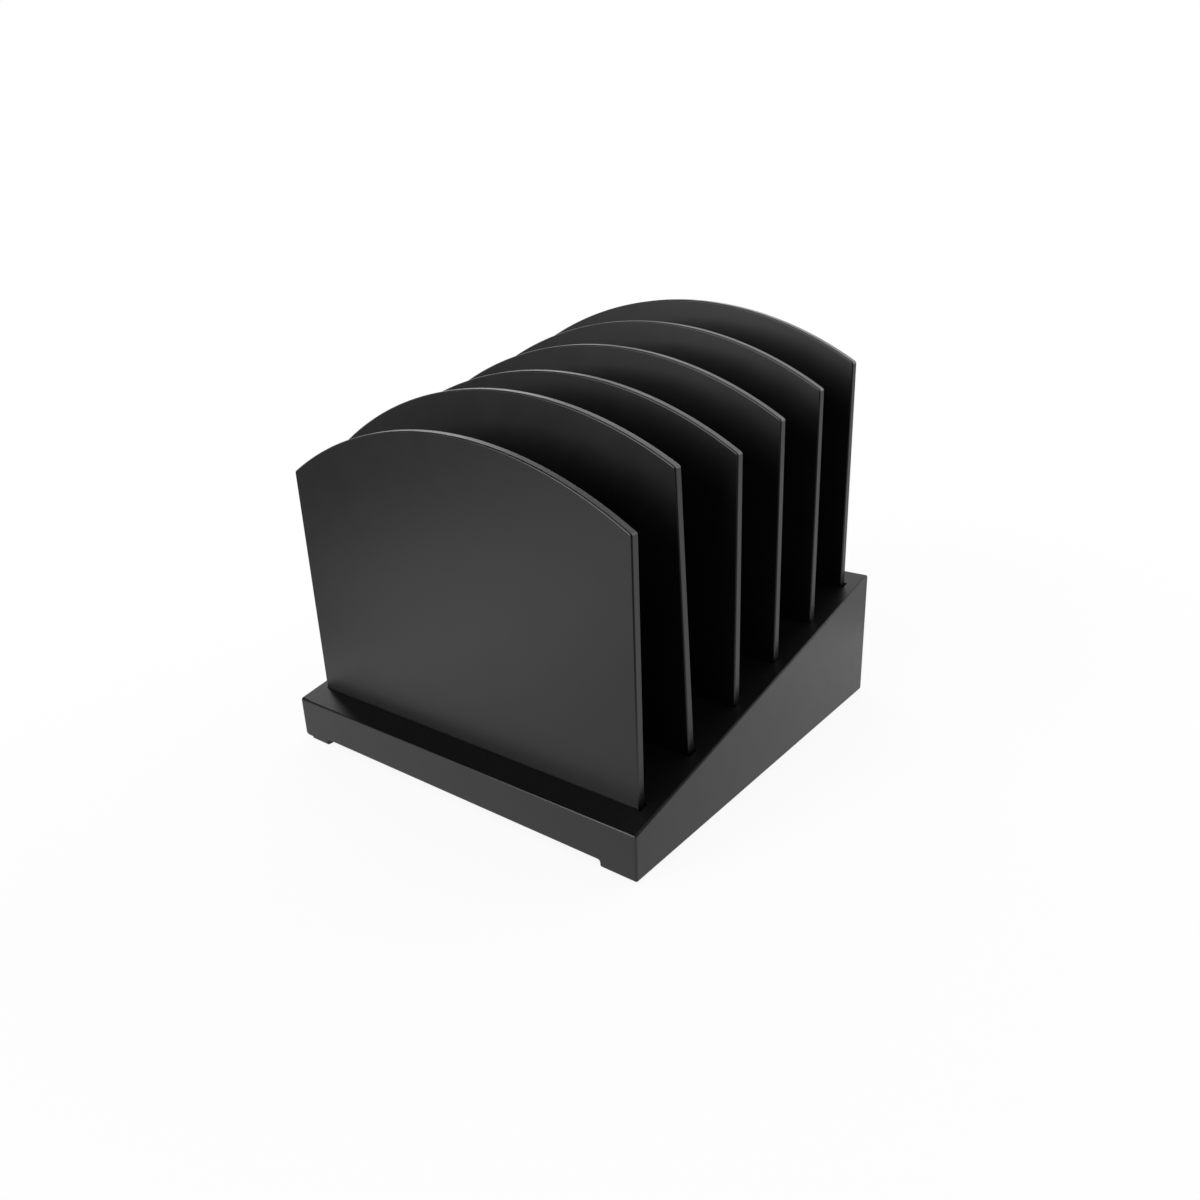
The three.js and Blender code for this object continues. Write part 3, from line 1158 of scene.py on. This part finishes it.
@dataclass(frozen=True)
class Studio:
    """A white floor and backdrop with four softboxes, dark above and behind the camera.

    Attributes:
        floor_reach: Half the floor's side.
        floor_steps: How many points the floor has along a side.
        floor_tone: The floor's own colour.
        floor_white: Share of plain white in the floor's look near the object, for a faint shadow.
        white_near: Distance from the object at which that share starts to grow.
        white_far: Distance from which the floor is plain white.
        floor_far: Brightness of the far floor in reflections.
        painted_light_pools: Pools of light painted on the floor, which reflections show as bright areas.
        sky_light: Brightness of the sky for the light that it sheds.
        backdrop: Brightness of the backdrop in reflections.
        backdrop_low: Sine of the elevation at which the backdrop starts to fade.
        backdrop_high: Sine of the elevation at which it has faded.
        dark_azimuth: Middle of the dark area behind the camera, from the front towards the right.
        dark_inner: Half the width of its darkest part.
        dark_outer: Half its whole width.
        softboxes: The lamps.
    """

    floor_reach: float = 12.0
    floor_steps: int = 13
    floor_tone: Tone = (0.93, 0.93, 0.93, 1)
    floor_white: float = 0.9
    white_near: float = 0.35
    white_far: float = 0.9
    floor_far: float = 0.12
    painted_light_pools: tuple[PaintedLightPool, ...] = (
        PaintedLightPool((0.0, 0.0, 0.0), 0.31, 0.39, 0.54),
        PaintedLightPool((-0.25, -0.58, 0.0), 0.17, 0.4, 0.93),
        PaintedLightPool((0.38, 1.39, 0.0), 0.65, 1.62, 0.55),
        PaintedLightPool((0.62, 0.34, 0.0), 0.22, 0.5, 0.38),
    )
    sky_light: float = 0.5
    backdrop: float = 0.48
    backdrop_low: float = 0.3
    backdrop_high: float = 0.42
    dark_azimuth: float = math.radians(60.7)
    dark_inner: float = math.radians(48.6)
    dark_outer: float = math.radians(65.3)
    softboxes: tuple[Softbox, ...] = (
        Softbox("front_softbox", math.radians(-15.0), math.radians(20.8), 3.2, 3.1, 5.1),
        Softbox("rear_softbox", math.radians(174.7), math.radians(23.0), 7.1, 4.1, 1.65),
        Softbox("left_softbox", math.radians(-123.2), math.radians(24.5), 3.3, 1.9, 2.1),
        Softbox("top_softbox", math.radians(90.0), math.radians(76.0), 4.0, 4.4, 0.5),
    )

    def build_floor(self) -> Object:
        """Lays the floor: a flat square grid whose shader is mostly plain white to the rays that see it,
        with painted pools of light in reflections.

        Returns:
            The floor.
        """
        span = np.linspace(-self.floor_reach, self.floor_reach, self.floor_steps)
        x, y = np.meshgrid(span, span)
        points = np.stack([x, y, np.zeros_like(x)], -1).reshape(-1, 3)
        number = np.arange(x.size).reshape(x.shape)
        faces = np.stack([number[:-1, :-1], number[:-1, 1:], number[1:, 1:], number[1:, :-1]], -1)
        mesh = bpy.data.meshes.new("floor")
        mesh.from_pydata(points.tolist(), [], faces.reshape(-1, 4).tolist())
        floor = linked("floor", mesh)

        sheet = NodeSheet(bpy.data.materials.new("pale_floor"))
        place = sheet.add("TexCoord").outputs["Object"]
        level = self.floor_far
        # Painted pools of light: each adds a glow, which no lamp casts, to the floor's brightness in
        # reflections.
        for light_pool in self.painted_light_pools:
            away = sheet.add("VectorMath", {0: place, 1: light_pool.centre}, operation="DISTANCE").outputs["Value"]
            painted_glow = sheet.maths("MULTIPLY", sheet.faded(away, light_pool.inner, light_pool.outer), light_pool.brightness)
            level = sheet.maths("ADD", painted_glow, level)
        away = sheet.add("VectorMath", {0: place}, operation="LENGTH").outputs["Value"]
        near = sheet.faded(away, self.white_near, self.white_far)
        plain_share = sheet.maths("MULTIPLY", near, 1 - self.floor_white)
        white_share = sheet.maths("SUBTRACT", 1.0, plain_share)
        plain = sheet.add("BsdfDiffuse", {"Color": self.floor_tone})
        white = sheet.add("Emission", {"Color": WHITE, "Strength": sheet.white_for_camera(level)})
        share = sheet.maths("MULTIPLY", sheet.seen(), white_share)
        mix = sheet.add("MixShader", {0: share, 1: plain.outputs[0], 2: white.outputs[0]})
        sheet.add("OutputMaterial", {"Surface": mix.outputs[0]})
        mesh.materials.append(sheet.owner)
        return floor

    def build_sky(self) -> World:
        """Makes the world: white to the camera, a fading backdrop in reflections, and plain light.

        Returns:
            The world.
        """
        sheet = NodeSheet(bpy.data.worlds.new("even_sky"))
        direction = sheet.add("TexCoord").outputs["Generated"]
        height = sheet.add("SeparateXYZ", {0: direction}).outputs["Z"]
        low = sheet.faded(height, self.backdrop_low, self.backdrop_high)
        dark = tuple(towards(self.dark_azimuth, 0.0))
        aligned = sheet.add("VectorMath", {0: direction, 1: dark}, operation="DOT_PRODUCT").outputs["Value"]
        lit = sheet.faded(aligned, math.cos(self.dark_outer), math.cos(self.dark_inner))
        level = sheet.maths("MULTIPLY", sheet.maths("MULTIPLY", low, lit), self.backdrop)
        light = sheet.add("Background", {"Color": WHITE, "Strength": self.sky_light})
        white = sheet.add("Background", {"Color": WHITE, "Strength": sheet.white_for_camera(level)})
        mix = sheet.add("MixShader", {0: sheet.seen(), 1: light.outputs[0], 2: white.outputs[0]})
        sheet.add("OutputWorld", {"Surface": mix.outputs[0]})
        bpy.context.scene.world = sheet.owner
        return sheet.owner

    def build(self) -> None:
        """Builds the floor, the sky and the lamps, and sets the plain view transform."""
        self.build_floor()
        self.build_sky()
        for softbox in self.softboxes:
            softbox.build()
        bpy.context.scene.view_settings.view_transform = "Standard"


@dataclass(frozen=True)
class PhotoCamera:
    """The camera at the photograph's viewing angle.

    Attributes:
        azimuth: Angle from straight in front towards the right.
        elevation: Angle above the level.
        roll: Turn of the frame about the line of sight.
        distance: Distance to the aim, along the line of sight.
        focal: Focal length in the photograph's pixels.
        aim: The point that the line of sight passes.
        aside: How far the line of sight passes to the right of the aim.
        above: How far it passes above the aim.
        nearest: Distance from which the camera sees.
        farthest: Distance up to which it sees.
    """

    azimuth: float = math.radians(38.861)
    elevation: float = math.radians(20.842)
    roll: float = math.radians(-2.266)
    distance: float = 716.13 * MM
    focal: float = 974.54
    aim: Place = (0.0, 3.0 * MM, 92.5 * MM)
    aside: float = 8.61 * MM
    above: float = -1.11 * MM
    nearest: float = 0.01
    farthest: float = 100.0

    def build(self) -> Object:
        """Makes the camera and gives it to the scene.

        The line of sight comes from the azimuth and elevation. The level and upright directions of the
        frame are square to it, and both are then turned by the roll.

        Returns:
            The camera.
        """
        back = towards(self.azimuth, self.elevation)
        level = (-back).cross(Vector((0, 0, 1))).normalized()
        upright = level.cross(-back)
        right = level * math.cos(self.roll) + upright * math.sin(self.roll)
        up = upright * math.cos(self.roll) - level * math.sin(self.roll)
        place = Vector(self.aim) + self.aside * right + self.above * up + self.distance * back
        lens = bpy.data.cameras.new("photo_camera")
        lens.sensor_fit = "HORIZONTAL"
        lens.sensor_width = SENSOR
        lens.lens = self.focal / PHOTO_PIXELS * SENSOR
        lens.clip_start = self.nearest
        lens.clip_end = self.farthest
        camera = linked("photo_camera", lens)
        camera.matrix_world = Matrix.Translation(place) @ Matrix((right, up, back)).transposed().to_4x4()
        bpy.context.scene.camera = camera
        return camera


def main() -> None:
    """Builds the camera, the organizer and the studio in order, and reports each piece."""
    logging.basicConfig(level=logging.INFO, format="%(message)s")
    PhotoCamera().build()
    lacquer = SatinLacquer().material()
    incline = Incline.from_frame()
    upright = ThinUndercoat("thin_undercoat_upright", Grain.ALONG_Z).material()
    lying = ThinUndercoat("thin_undercoat_lying", Grain.ALONG_Y).material()
    pieces = SidePanels(incline, lacquer).build()
    pieces += Rails(incline, lacquer).build()
    pieces += Deck(incline, lacquer).build()
    pieces += InnerWoodwork(incline, upright, lying).build()
    pieces += FeltPads(incline, DenseFelt().material()).build()
    across = PlainBeech("beech_across", Grain.ALONG_X).material()
    pieces += Dowels(incline, across, PlainBeech("beech_upright", Grain.ALONG_Z).material()).build()
    pieces += Dividers(incline, lacquer).build()
    Studio().build()
    log.info("%d pieces in all", len(pieces))


if __name__ == "__main__":
    main()
